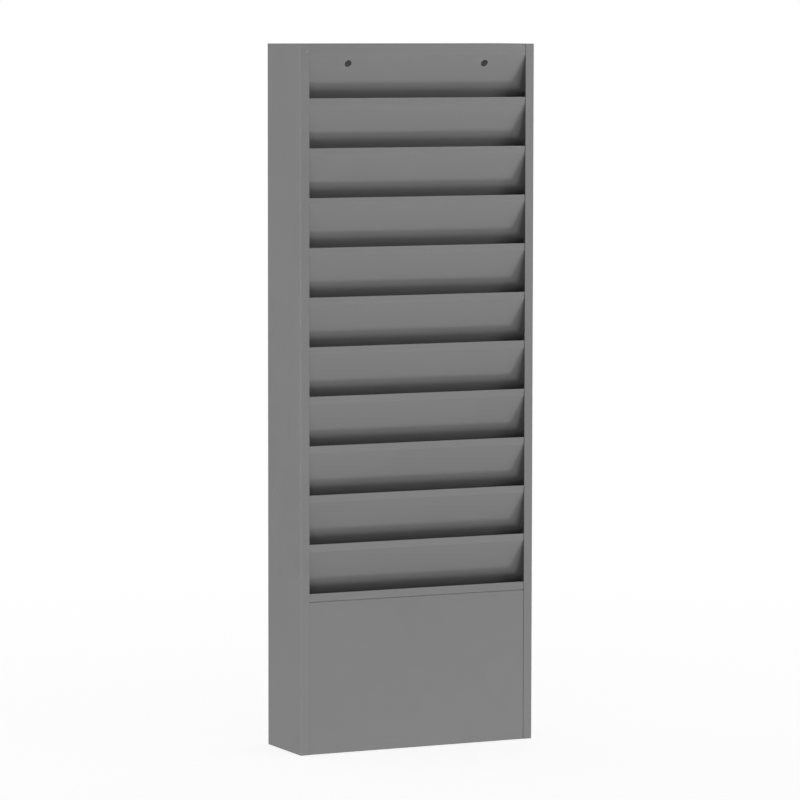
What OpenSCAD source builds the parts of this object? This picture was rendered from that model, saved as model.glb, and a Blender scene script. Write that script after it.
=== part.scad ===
// Literature rack of folded sheet steel with eleven inclined pockets for letter-size folders.
// X runs to the right seen from the front, Y to the back and Z up.
// The origin is at the middle of the base, on the surface that the rack stands on.
// Every piece is one folded sheet, spot welded to its neighbours, so all the pieces form one rigid body.

/* [Rack] */
// Width over the side panels
rack_w = 334.2; // [280:0.2:400]
// Depth from the front flanges to the rear flanges
rack_d = 104.8; // [80:0.2:140]
// Height of the rack
rack_h = 914.4; // [760:0.2:1100]
// Height of the top edge of the last pocket's lip
last_lip_z = 209; // [160:0.5:280]

/* [Sheet steel] */
// Thickness of the sheet
sheet = 0.9; // [0.6:0.1:1.4]
// Inside radius of a bend
bend_r = 0.9; // [0.4:0.1:1.8]
// Inside radius of a hem folded flat
hem_r = 0.2; // [0.1:0.05:0.5]
// Gap left between the faces of two welded sheets
weld_gap = 0.1; // [0.05:0.05:0.3]
// Gap between the ends of a sheet and the inside of the side panels' bends
end_gap = 0.2; // [0.1:0.05:0.8]

/* [Side panels] */
// Width of the front flange
front_flange = 12.3; // [9:0.1:20]
// Width of the rear flange
rear_flange = 15.9; // [9:0.1:25]

/* [Pockets] */
// Length of the lip in front of a pocket
lip_h = 8.8; // [7:0.1:14]
// Angle by which each lip leans back from upright, apart from the last one, which stands upright
lip_lean = 5; // [0:0.5:12]
// Bare height between the free edge of the lip's hem and the bend under the lip
hem_bare = 3.1; // [1:0.1:4]
// Height of the foot that is turned up against the back panel
foot_h = 9.5; // [6:0.1:20]
// Gap between the bottom panel and the lowest fold of the last pocket
floor_gap = 5; // [2:0.5:20]

/* [Header] */
// Height of the upright strip at the top of the rack
header_lip_h = 14.3; // [8:0.1:20]
// Height of the flange that is turned down from the top sheet along the back panel
top_flange_h = 12.7; // [6:0.1:25]
// Diameter of the holes that let a screwdriver reach the wall screws
driver_hole_d = 9.5; // [7:0.1:14]

/* [Wall screws] */
// Distance between the two wall screws
screw_spacing = 195; // [100:1:240]
// Height of the wall screws below the bend under the header's strip
screw_drop = 10.7; // [9:0.1:60]
// Diameter of the screw holes in the back panel
screw_hole_d = 6.4; // [4:0.1:8]

/* [Lower front panel and bottom panel] */
// Gap between the top edge of the lower front panel and the last inclined plate behind it
seam_gap = 0.2; // [0.1:0.05:1]
// Height of the flanges turned up around the bottom panel
pan_flange_h = 12.7; // [6:0.1:25]
// Gap between the bottom panel's side flanges and the last pocket above them
pan_clear = 3; // [1:0.5:8]

/* [Hidden] */

// Number of pockets, which is the number of dividers in NODES
pocket_count = 11;
// Largest angle between two points of a rounded bend
bend_step = 15;
// Facets of a round hole
hole_facets = 48;
// How far a cut runs past the sheet on each side, in thicknesses of the sheet
overrun = 3 * sheet;

// Radius of the middle of the sheet in a bend and in a hem
bend_mid = bend_r + sheet / 2;
hem_mid = hem_r + sheet / 2;
// What a bend or a hem takes from the outside of the straight part before it
bend_out = bend_r + sheet;
hem_out = hem_r + sheet;

// Width left between the two side panels
inner_w = rack_w - 2 * sheet;
// How far the inside of a side panel's bend reaches in over a sheet that is welded to the flange
bend_reach = bend_r - sqrt(pow(bend_r, 2) - pow(bend_r - weld_gap, 2));
// Width of a sheet that fits between the side panels
fit_w = inner_w - 2 * (bend_reach + end_gap);

// Front and rear of the rack
front_y = -rack_d / 2;
rear_y = rack_d / 2;
// Middle of the sheets that are welded behind the front flanges
lip_y = front_y + sheet + weld_gap + sheet / 2;
// Front face of the back panel, which is welded in front of the rear flanges
back_face_y = rear_y - sheet - weld_gap - sheet;
// Middle of the flanges that are welded to the back panel
foot_y = back_face_y - weld_gap - sheet / 2;

// Heights of the bends under the header's strip and under the last lip, and the step between pockets
header_bend_z = rack_h - header_lip_h;
last_bend_z = last_lip_z - lip_h;
pocket_pitch = (header_bend_z - last_bend_z) / pocket_count;

// Under an upright lip, the inclined plate falls by plate_drop while it runs back to its foot
plate_drop = last_bend_z - sheet - floor_gap - bend_out;
plate_run = foot_y - lip_y - 2 * bend_mid;
plate_angle = atan(plate_run / plate_drop);
plate_length = norm([plate_run, plate_drop]);

// Height of the lower front panel, which ends under the last inclined plate where that has left its plane
panel_h = last_bend_z - bend_out * sin(plate_angle)
    - (sheet - bend_out * (1 - cos(plate_angle))) / tan(plate_angle) - seam_gap;

// Height of the wall screws
screw_z = header_bend_z - screw_drop;

// Height of the top edge of a pocket's lip, counted from the top pocket
function lip_top(pocket) = last_lip_z + (pocket_count - pocket) * pocket_pitch;

// Where the middle of an inclined plate lies at height z, under a bend at height bend_z
function plate_y(bend_z, z) =
    lip_y + bend_mid * (1 - cos(plate_angle))
    + (bend_z - bend_mid * sin(plate_angle) - z) * tan(plate_angle);

// A point moved along a heading, and a point moved to the left of a heading
function ahead(p, heading, d) = p + d * [cos(heading), sin(heading)];
function aside(p, heading, d) = p + d * [-sin(heading), cos(heading)];

// One side of a folded sheet in section. The walk follows the middle of the sheet in steps of
// [straight length, turn to the left in degrees, radius of the turn], and side is the distance
// of the drawn line to the left of that middle.
function folded_side(steps, side, p, heading, i = 0) =
    i == len(steps) ? [] :
    let (
        turn = steps[i][1],
        bent = sign(turn) * steps[i][2],
        turn_start = ahead(p, heading, steps[i][0]),
        centre = aside(turn_start, heading, bent),
        count = max(1, ceil(abs(turn) / bend_step)),
        line = turn == 0
            ? [aside(turn_start, heading, side)]
            : [for (k = [0:count]) aside(centre, heading + turn * k / count, side - bent)]
    )
    concat(line, folded_side(steps, side, aside(centre, heading + turn, -bent), heading + turn, i + 1));

// The whole outline of a folded sheet, down its left side and back up its right side
function folded_outline(start, heading, steps) =
    let (
        half = sheet / 2,
        left = concat([aside(start, heading, half)], folded_side(steps, half, start, heading)),
        right = concat([aside(start, heading, -half)], folded_side(steps, -half, start, heading))
    )
    concat(left, [for (i = [len(right) - 1:-1:0]) right[i]]);

// Steps of the walk shared by the header and the dividers, from the bend under the lip to the foot
function plate_and_foot(length) = [
    [length, 180 - plate_angle, bend_mid],
    [foot_h - bend_out, 0, 0]
];

// A section drawn in Y and Z, pulled across the rack along X and centred on it
module across(width) {
    rotate([90, 0, 90])
        linear_extrude(height = width, center = true)
            children();
}

// One side panel in plan: front flange, web and rear flange
module side_panel() {
    walk = [
        [front_flange - bend_out, -90, bend_mid],
        [rack_d - 2 * bend_out, -90, bend_mid],
        [rear_flange - bend_out, 0, 0]
    ];
    start = [front_flange - rack_w / 2, front_y + sheet / 2];
    linear_extrude(height = rack_h)
        polygon(folded_outline(start, 180, walk));
}

module left_side() {
    color("gray")
        side_panel();
}

module right_side() {
    color("gray")
        mirror([1, 0, 0])
            side_panel();
}

// The two places of the wall screws, across the rack
module at_screws() {
    for (side = [-1, 1])
        translate([side * screw_spacing / 2, 0, screw_z])
            children();
}

// Flat sheet with the screw holes, closed in by the side panels and their rear flanges
module back_panel() {
    color("gray")
        difference() {
            translate([-fit_w / 2, back_face_y, 0])
                cube([fit_w, sheet, rack_h]);
            at_screws()
                translate([0, back_face_y - overrun, 0])
                    rotate([-90, 0, 0])
                        cylinder(h = sheet + 2 * overrun, d = screw_hole_d, $fn = hole_facets);
        }
}

// Top sheet, front strip and the first inclined plate in one piece, with the holes for a screwdriver
module header() {
    walk = concat(
        [
            [top_flange_h - bend_out, 90, bend_mid],
            [foot_y - lip_y - 2 * bend_mid, 90, bend_mid],
            [header_lip_h - bend_out, plate_angle, bend_mid]
        ],
        plate_and_foot(plate_length)
    );
    color("gray")
        difference() {
            across(fit_w)
                polygon(folded_outline([foot_y, rack_h - top_flange_h], 90, walk));
            at_screws()
                translate([0, plate_y(header_bend_z, screw_z), 0])
                    rotate([plate_angle - 90, 0, 0])
                        cylinder(h = sheet + 2 * overrun, d = driver_hole_d, center = true, $fn = hole_facets);
        }
}

// Hemmed lip, inclined plate and turned-up foot of one pocket, counted from the top
module divider(pocket) {
    lean = pocket == pocket_count ? 0 : lip_lean;
    // Lengths of the hem's inner leg and of the lip before its bend
    hem_leg = lip_h - hem_bare - hem_out;
    lip_leg = lip_h - hem_out;
    // The lip leans about the middle of its hem, which stays behind the front flanges
    hem_centre = [lip_y + hem_mid, lip_top(pocket) - hem_out];
    start = aside(ahead(hem_centre, 90 + lean, -hem_leg), 90 + lean, -hem_mid);
    // The lean moves the plate back, so the plate is shorter and its foot stays on the back panel
    moved_back = lip_leg * sin(lean) + (hem_mid - bend_mid) * (1 - cos(lean));
    walk = concat(
        [
            [hem_leg, 180, hem_mid],
            [lip_leg, plate_angle - lean, bend_mid]
        ],
        plate_and_foot(plate_length - moved_back / sin(plate_angle))
    );
    color("gray")
        across(fit_w)
            polygon(folded_outline(start, 90 + lean, walk));
}

// Flat sheet between the last pocket and the base, welded behind the front flanges
module lower_front_panel() {
    color("gray")
        translate([-fit_w / 2, lip_y - sheet / 2, 0])
            cube([fit_w, sheet, panel_h]);
}

// Shallow pan with flanges turned up at the front and along the side panels
module bottom_panel() {
    // Outer faces of the pan's flanges
    pan_front_y = lip_y + sheet / 2 + weld_gap;
    pan_rear_y = back_face_y - weld_gap;
    pan_half_w = inner_w / 2 - weld_gap;
    // The side flanges end where the last inclined plate comes down to them
    plate_half = sheet / 2 / cos(plate_angle);
    side_end_y = plate_y(last_bend_z, pan_flange_h + pan_clear) - plate_half;
    front_walk = [
        [pan_flange_h - bend_out, 90, bend_mid],
        [pan_rear_y - pan_front_y - bend_out, 0, 0]
    ];
    side_walk = [
        [pan_flange_h - bend_out, 90, bend_mid],
        [2 * (pan_half_w - bend_out), 90, bend_mid],
        [pan_flange_h - bend_out, 0, 0]
    ];
    color("gray")
        union() {
            across(2 * (pan_half_w - bend_out))
                polygon(folded_outline([pan_front_y + sheet / 2, pan_flange_h], -90, front_walk));
            translate([0, side_end_y, 0])
                rotate([90, 0, 0])
                    linear_extrude(height = side_end_y - pan_front_y - bend_out)
                        polygon(folded_outline([sheet / 2 - pan_half_w, pan_flange_h], -90, side_walk));
            translate([-pan_half_w, side_end_y + bend_out, 0])
                cube([2 * pan_half_w, pan_rear_y - side_end_y - bend_out, sheet]);
        }
}

left_side();
right_side();
back_panel();
header();
divider(1);  // divider_01
divider(2);  // divider_02
divider(3);  // divider_03
divider(4);  // divider_04
divider(5);  // divider_05
divider(6);  // divider_06
divider(7);  // divider_07
divider(8);  // divider_08
divider(9);  // divider_09
divider(10);  // divider_10
divider(11);  // divider_11
lower_front_panel();
bottom_panel();
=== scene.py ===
"""The looks of the literature rack: grey powder coat on folded sheet steel, in a plain studio."""

import math

import bmesh
import bpy
from mathutils import Matrix, Vector


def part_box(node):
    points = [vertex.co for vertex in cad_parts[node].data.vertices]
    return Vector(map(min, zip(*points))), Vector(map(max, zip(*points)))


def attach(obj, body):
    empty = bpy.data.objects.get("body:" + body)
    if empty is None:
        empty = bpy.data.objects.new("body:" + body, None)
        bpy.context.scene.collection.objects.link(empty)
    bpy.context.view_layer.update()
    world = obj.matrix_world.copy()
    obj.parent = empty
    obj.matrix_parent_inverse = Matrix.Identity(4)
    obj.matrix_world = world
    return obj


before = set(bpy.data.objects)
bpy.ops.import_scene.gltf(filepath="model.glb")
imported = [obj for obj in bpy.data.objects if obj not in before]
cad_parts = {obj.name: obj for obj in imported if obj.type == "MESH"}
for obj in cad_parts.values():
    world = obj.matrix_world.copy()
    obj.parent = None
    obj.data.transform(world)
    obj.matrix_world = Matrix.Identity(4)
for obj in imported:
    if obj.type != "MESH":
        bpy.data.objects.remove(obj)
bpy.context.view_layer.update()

# Lengths are in metres and angles in degrees, unless a comment says otherwise

# The camera stands to the left of the rack's front, at the height of its top
CAMERA_PLACE = (-2.4991, -5.2352, 0.9440)
CAMERA_YAW = 25.507
CAMERA_PITCH = -4.866
CAMERA_ROLL = 0.077
CAMERA_CLIP = (0.1, 100)
# Lens and sensor, in millimetres
CAMERA_LENS = 200.53
SENSOR_WIDTH = 36

# Linear grey of the coat, and the shares by which it varies over the sheet, in its grain and at
# its edges. The edges are painted lighter: partly a thinner, worn coat, partly a painted highlight
# along them
COAT_GREY = 0.205
TONE_SHARE = 0.012
GRAIN_SHARE = 0.02
EDGE_WEAR_AND_HIGHLIGHT_SHARE = 0.05

# Roughness of the coat, how far the film and the grain change it, and how much smoother an edge is
COAT_ROUGHNESS = 0.46
FILM_ROUGHNESS = 0.03
GRAIN_ROUGHNESS = 0.02
EDGE_ROUGHNESS = 0.06
COAT_IOR = 1.45

# Each noise of the coat: how many waves to a metre, and the octaves of its detail
TONE_NOISE = (7.0, 4.0)
FILM_NOISE = (45.0, 3.0)
PEEL_NOISE = (650.0, 1.0)
GRAIN_NOISE = (1500.0, 2.0)
# The middle part of a noise's values, which is stretched over what it changes
NOISE_LOW = 0.3
NOISE_HIGH = 0.7
# Depth of the orange peel and of the grain
PEEL_DEPTH = 0.00006
GRAIN_DEPTH = 0.00001

# Rounding of the coat over the sheet's cut edges. A point belongs to an edge where its rounded
# normal has turned away from its face: the cosines of a full edge and of none
COAT_ROUNDING = 0.0004
ROUNDING_SAMPLES = 4
EDGE_COSINE = 0.75
FACE_COSINE = 0.98

# Bends with steps under this angle are shaded smooth
SMOOTH_ANGLE = 40

# Spot welds leave shallow dimples of this diameter and depth; in them the coat is painted lighter
# by a share, a painted highlight that marks their relief
WELD_ACROSS = 0.0064
WELD_DEPTH = 0.00025
WELD_HIGHLIGHT_SHARE = 0.09
# The flat middle of a dimple reaches this share of its diameter out from its centre
WELD_FLAT = 0.3
# How far the dimples lie from the edge of a rear flange, and on the inclined sheets' feet
# how far apart and how high above the fold
WELD_INSET = 0.008
WELD_STEP = 0.11
WELD_ABOVE_FOLD = 0.006

# The one weld that shows in front: a low round bump on the left flange, beside the header's strip.
# Its grey is lighter than the coat's, a painted highlight on the bump
MARK_FROM_SIDE = 0.0086
MARK_FROM_TOP = 0.0102
MARK_RADIUS = 0.0031
MARK_HEIGHT = 0.00045
MARK_SUNK = 0.00003
MARK_HIGHLIGHT_GREY = 0.235
MARK_RINGS = 8
MARK_SPOKES = 32

# Each light's azimuth to the right of the rack's front, elevation, distance, width and power
# in watts
LIGHTS = {
    "key": (28, -41, 5, 0.9, 44),
    "low": (0, -25, 5, 1.6, 69),
    "front": (-30, -8, 5, 1.6, 40),
    "top": (12, 55, 5, 2.0, 35),
    "near": (45, 35, 1.6, 0.6, 6.5),
    "left": (-123, 4, 4, 2.0, 56),
    "edge": (-87, 0, 4, 0.2, 40),
    "right": (100, -5, 4, 1.6, 50),
    "back": (150, -12, 4, 1.0, 95),
}
# The light that falls through the two round holes on the back panel behind them
HOLE_LIGHT = (0, 0, 5, 1.6, 60)
LIT_MIDDLE = (0, 0, 0.47)
WORLD_LIGHT = 0.34

# The floor's size and grey, its own glow near the rack, and the distances between which
# it turns white
FLOOR_RADIUS = 40
FLOOR_CORNERS = 96
FLOOR_GREY = 0.9
FLOOR_ROUGHNESS = 0.9
FLOOR_GLOW = 0.68
FADE_START = 0.6
FADE_END = 2.0

WHITE = (1, 1, 1, 1)


def set_camera():
    data = bpy.data.cameras.new("camera")
    data.lens = CAMERA_LENS
    data.sensor_width = SENSOR_WIDTH
    data.clip_start, data.clip_end = CAMERA_CLIP
    camera = bpy.data.objects.new("camera", data)
    turn = Matrix.Rotation(math.radians(-CAMERA_YAW), 4, "Z")
    tilt = Matrix.Rotation(math.radians(90 + CAMERA_PITCH), 4, "X")
    roll = Matrix.Rotation(math.radians(CAMERA_ROLL), 4, "Z")
    camera.matrix_world = Matrix.Translation(CAMERA_PLACE) @ turn @ tilt @ roll
    bpy.context.scene.collection.objects.link(camera)
    bpy.context.scene.camera = camera


class Nodes:
    """Short calls for building a material's nodes."""

    def __init__(self, name):
        self.material = bpy.data.materials.new(name)
        self.material.use_nodes = True
        self.tree = self.material.node_tree
        self.shader = self.tree.nodes["Principled BSDF"]

    def add(self, kind, **settings):
        node = self.tree.nodes.new(kind)
        for key, value in settings.items():
            setattr(node, key, value)
        return node

    def put(self, value, socket):
        """Links a socket to another one, or sets it to a number."""
        if hasattr(value, "links"):
            self.tree.links.new(value, socket)
        else:
            socket.default_value = value

    def math(self, operation, a, b=0.0):
        node = self.add("ShaderNodeMath", operation=operation)
        self.put(a, node.inputs[0])
        self.put(b, node.inputs[1])
        return node.outputs[0]

    def between(self, value, low, high, to_low, to_high):
        """Maps low..high smoothly to to_low..to_high."""
        node = self.add("ShaderNodeMapRange", interpolation_type="SMOOTHSTEP")
        for socket, given in zip(node.inputs, (value, low, high, to_low, to_high)):
            self.put(given, socket)
        return node.outputs["Result"]

    def vary(self, noise, middle, share):
        """A value that a noise takes up and down from its middle by a share."""
        return self.between(noise, NOISE_LOW, NOISE_HIGH, middle - share, middle + share)

    def raise_at(self, mask, share):
        """A factor that is 1, and larger by a share where a mask is 1."""
        return self.between(mask, 0.0, 1.0, 1.0, 1 + share)

    def noise(self, place, scale, detail):
        node = self.add("ShaderNodeTexNoise")
        self.put(place, node.inputs["Vector"])
        node.inputs["Scale"].default_value = scale
        node.inputs["Detail"].default_value = detail
        return node.outputs["Fac"]

    def bump(self, height, distance, normal):
        node = self.add("ShaderNodeBump")
        node.inputs["Distance"].default_value = distance
        self.put(height, node.inputs["Height"])
        self.put(normal, node.inputs["Normal"])
        return node.outputs["Normal"]

    def spot(self, across, up, width):
        """A round spot around zero: 1 in its flat middle and 0 outside its width."""
        far = self.add("ShaderNodeVectorMath", operation="LENGTH")
        joined = self.add("ShaderNodeCombineXYZ")
        self.put(across, joined.inputs["X"])
        self.put(up, joined.inputs["Y"])
        self.put(joined.outputs[0], far.inputs[0])
        return self.between(far.outputs["Value"], WELD_FLAT * width, width / 2, 1.0, 0.0)

    def beside(self, value, step):
        """How far a value lies from the nearest multiple of a step."""
        return self.math("PINGPONG", value, step / 2)


def weld_dimples(n, x, z):
    """Spot welds up the rear flanges, and a row of them at each inclined sheet's foot."""
    side_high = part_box("right_side")[1]
    first_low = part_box("divider_01")[0]
    pitch = first_low.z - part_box("divider_02")[0].z
    up = n.beside(n.math("SUBTRACT", z, first_low.z + WELD_ABOVE_FOLD), pitch)
    from_flange = n.math("SUBTRACT", n.math("ABSOLUTE", x), side_high.x - WELD_INSET)
    on_flange = n.spot(from_flange, up, WELD_ACROSS)
    # The header's foot, one pitch above the first divider's, has the highest row
    past_highest_row = first_low.z + 1.5 * pitch
    foot_behind = n.math("LESS_THAN", z, past_highest_row)
    foot_spots = n.spot(n.beside(x, WELD_STEP), up, WELD_ACROSS)
    on_foot = n.math("MULTIPLY", foot_behind, foot_spots)
    return n.math("MAXIMUM", on_flange, on_foot)


def powder_coat(name, base_grey):
    """Satin powder coat: orange peel 1.5 mm across, fine grain, faint tones, and edges painted
    lighter as thin coat and painted highlight.
    """
    n = Nodes(name)
    place = n.add("ShaderNodeTexCoord").outputs["Object"]
    split = n.add("ShaderNodeSeparateXYZ")
    n.put(place, split.inputs[0])
    x, y, z = split.outputs

    rounded = n.add("ShaderNodeBevel", samples=ROUNDING_SAMPLES)
    rounded.inputs["Radius"].default_value = COAT_ROUNDING
    facing = n.add("ShaderNodeVectorMath", operation="DOT_PRODUCT")
    n.put(rounded.outputs["Normal"], facing.inputs[0])
    n.put(n.add("ShaderNodeNewGeometry").outputs["Normal"], facing.inputs[1])
    edge = n.between(facing.outputs["Value"], EDGE_COSINE, FACE_COSINE, 1.0, 0.0)

    grain = n.noise(place, *GRAIN_NOISE)
    film = n.noise(place, *FILM_NOISE)
    # Only the rear half of the rack has weld dimples
    dimples = n.math("MULTIPLY", n.math("GREATER_THAN", y, 0.0), weld_dimples(n, x, z))

    tone = n.vary(n.noise(place, *TONE_NOISE), 1, TONE_SHARE)
    tone = n.math("MULTIPLY", tone, n.vary(film, 1, TONE_SHARE / 2))
    tone = n.math("MULTIPLY", tone, n.vary(grain, 1, GRAIN_SHARE))
    # Edges lighter by a share: partly a thinner coat, partly a painted highlight
    tone = n.math("MULTIPLY", tone, n.raise_at(edge, EDGE_WEAR_AND_HIGHLIGHT_SHARE))
    # Dimples painted lighter by a share: a painted highlight on their relief
    tone = n.math("MULTIPLY", tone, n.raise_at(dimples, WELD_HIGHLIGHT_SHARE))
    grey = n.math("MULTIPLY", tone, base_grey)
    colour = n.add("ShaderNodeCombineColor")
    for socket in colour.inputs[:3]:
        n.put(grey, socket)
    n.put(colour.outputs[0], n.shader.inputs["Base Color"])

    rough = n.vary(film, COAT_ROUGHNESS, FILM_ROUGHNESS)
    rough = n.math("ADD", rough, n.vary(grain, 0, GRAIN_ROUGHNESS))
    rough = n.math("SUBTRACT", rough, n.math("MULTIPLY", edge, EDGE_ROUGHNESS))
    n.put(rough, n.shader.inputs["Roughness"])

    normal = n.bump(n.noise(place, *PEEL_NOISE), PEEL_DEPTH, rounded.outputs["Normal"])
    normal = n.bump(grain, GRAIN_DEPTH, normal)
    n.put(n.bump(dimples, -WELD_DEPTH, normal), n.shader.inputs["Normal"])
    n.shader.inputs["IOR"].default_value = COAT_IOR
    return n.material


def smooth_bends():
    """A node group that shades the bends smooth and keeps the sheets' edges sharp."""
    group = bpy.data.node_groups.new("smooth_bends", "GeometryNodeTree")
    group.interface.new_socket("Geometry", in_out="INPUT", socket_type="NodeSocketGeometry")
    group.interface.new_socket("Geometry", in_out="OUTPUT", socket_type="NodeSocketGeometry")
    come = group.nodes.new("NodeGroupInput")
    leave = group.nodes.new("NodeGroupOutput")
    angle = group.nodes.new("GeometryNodeInputMeshEdgeAngle")
    gentle = group.nodes.new("FunctionNodeCompare")
    gentle.operation = "LESS_THAN"
    gentle.inputs["B"].default_value = math.radians(SMOOTH_ANGLE)
    faces = group.nodes.new("GeometryNodeSetShadeSmooth")
    faces.domain = "FACE"
    edges = group.nodes.new("GeometryNodeSetShadeSmooth")
    edges.domain = "EDGE"
    join = group.links.new
    join(come.outputs[0], faces.inputs["Geometry"])
    join(faces.outputs[0], edges.inputs["Geometry"])
    join(angle.outputs["Unsigned Angle"], gentle.inputs["A"])
    join(gentle.outputs["Result"], edges.inputs["Shade Smooth"])
    join(edges.outputs[0], leave.inputs[0])
    return group


def dress_sheets():
    coat = powder_coat("grey_powder_coat", COAT_GREY)
    group = smooth_bends()
    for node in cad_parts.values():
        node.data.materials.clear()
        node.data.materials.append(coat)
        shading = node.modifiers.new("smooth_bends", "NODES")
        shading.node_group = group


def add_weld_mark():
    """The bump that a weld left on the left flange: rings of points, closed by a flat back."""
    side_low, side_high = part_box("left_side")
    middle = Vector((side_low.x + MARK_FROM_SIDE, side_low.y, side_high.z - MARK_FROM_TOP))
    mesh = bmesh.new()
    rings = []
    for ring in range(1, MARK_RINGS + 1):
        share = ring / MARK_RINGS
        out = MARK_RADIUS * share
        proud = MARK_HEIGHT * (1 + math.cos(math.pi * share)) / 2 - MARK_SUNK
        points = []
        for spoke in range(MARK_SPOKES):
            turn = 2 * math.pi * spoke / MARK_SPOKES
            step = Vector((out * math.cos(turn), -proud, out * math.sin(turn)))
            points.append(mesh.verts.new(middle + step))
        rings.append(points)
    top = mesh.verts.new(middle - Vector((0, MARK_HEIGHT - MARK_SUNK, 0)))
    for spoke in range(MARK_SPOKES):
        following = (spoke + 1) % MARK_SPOKES
        mesh.faces.new((top, rings[0][spoke], rings[0][following]))
        for inner, outer in zip(rings, rings[1:]):
            mesh.faces.new((inner[spoke], outer[spoke], outer[following], inner[following]))
    for face in mesh.faces:
        face.smooth = True
    mesh.faces.new(reversed(rings[-1]))
    bmesh.ops.recalc_face_normals(mesh, faces=mesh.faces)
    data = bpy.data.meshes.new("weld_mark")
    mesh.to_mesh(data)
    mesh.free()
    # The mark's coat is painted lighter than the rest: a painted highlight on the bump
    data.materials.append(powder_coat("painted_highlight_on_weld_mark", MARK_HIGHLIGHT_GREY))
    mark = bpy.data.objects.new("weld_mark", data)
    bpy.context.scene.collection.objects.link(mark)
    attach(mark, "root")


def towards(azimuth, elevation, distance):
    """A place seen from the rack's middle, at an azimuth to the right of its front."""
    a = math.radians(azimuth)
    e = math.radians(elevation)
    way = Vector((math.sin(a) * math.cos(e), -math.cos(a) * math.cos(e), math.sin(e)))
    return Vector(LIT_MIDDLE) + distance * way


def add_light(name, row, lit):
    """A square light aimed at the rack's middle. It lights, and is blocked by, one collection."""
    azimuth, elevation, distance, width, power = row
    data = bpy.data.lights.new(name, "AREA")
    data.size = width
    data.energy = power
    light = bpy.data.objects.new(name, data)
    light.location = towards(azimuth, elevation, distance)
    light.rotation_mode = "QUATERNION"
    aim = Vector(LIT_MIDDLE) - light.location
    light.rotation_quaternion = aim.to_track_quat("-Z", "Y")
    light.light_linking.receiver_collection = lit
    light.light_linking.blocker_collection = lit
    bpy.context.scene.collection.objects.link(light)


def set_lights():
    """Soft lights around the rack, which shine through the floor and leave it white."""
    rack = bpy.data.collections.new("rack")
    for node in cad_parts.values():
        rack.objects.link(node)
    rack.objects.link(bpy.data.objects["weld_mark"])
    for name, row in LIGHTS.items():
        add_light(name, row, rack)
    behind_holes = bpy.data.collections.new("behind_holes")
    behind_holes.objects.link(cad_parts["back_panel"])
    add_light("hole_light", HOLE_LIGHT, behind_holes)


def set_world():
    """A world that the camera sees white, and that lights the scene more faintly."""
    world = bpy.data.worlds.new("studio")
    bpy.context.scene.world = world
    world.use_nodes = True
    tree = world.node_tree
    tree.nodes.clear()
    seen = tree.nodes.new("ShaderNodeBackground")
    seen.inputs["Strength"].default_value = 1.0
    lit = tree.nodes.new("ShaderNodeBackground")
    lit.inputs["Strength"].default_value = WORLD_LIGHT
    for shade in (seen, lit):
        shade.inputs["Color"].default_value = WHITE
    path = tree.nodes.new("ShaderNodeLightPath")
    mix = tree.nodes.new("ShaderNodeMixShader")
    out = tree.nodes.new("ShaderNodeOutputWorld")
    tree.links.new(path.outputs["Is Camera Ray"], mix.inputs[0])
    tree.links.new(lit.outputs[0], mix.inputs[1])
    tree.links.new(seen.outputs[0], mix.inputs[2])
    tree.links.new(mix.outputs[0], out.inputs["Surface"])


def set_floor():
    """A pale floor, faintly shaded under the rack, that fades to the studio's white.

    It glows for the camera alone, so it casts no light of its own on the rack.
    """
    bpy.ops.mesh.primitive_circle_add(
        vertices=FLOOR_CORNERS, radius=FLOOR_RADIUS, fill_type="NGON", location=(0, 0, 0)
    )
    floor = bpy.context.object
    floor.name = "floor"
    n = Nodes("floor")
    place = n.add("ShaderNodeTexCoord").outputs["Object"]
    far = n.add("ShaderNodeVectorMath", operation="LENGTH")
    n.put(place, far.inputs[0])
    seen = n.add("ShaderNodeLightPath").outputs["Is Camera Ray"]
    n.shader.inputs["Base Color"].default_value = (FLOOR_GREY, FLOOR_GREY, FLOOR_GREY, 1)
    n.shader.inputs["Roughness"].default_value = FLOOR_ROUGHNESS
    n.shader.inputs["Specular IOR Level"].default_value = 0.0
    n.shader.inputs["Emission Color"].default_value = WHITE
    n.put(n.math("MULTIPLY", seen, FLOOR_GLOW), n.shader.inputs["Emission Strength"])
    white = n.add("ShaderNodeEmission")
    n.put(seen, white.inputs["Strength"])
    mix = n.add("ShaderNodeMixShader")
    n.put(n.between(far.outputs["Value"], FADE_START, FADE_END, 0.0, 1.0), mix.inputs[0])
    n.put(n.shader.outputs[0], mix.inputs[1])
    n.put(white.outputs[0], mix.inputs[2])
    n.put(mix.outputs[0], n.tree.nodes["Material Output"].inputs["Surface"])
    floor.data.materials.append(n.material)


set_camera()
dress_sheets()
add_weld_mark()
set_world()
set_lights()
set_floor()
bpy.context.scene.view_settings.view_transform = "Standard"
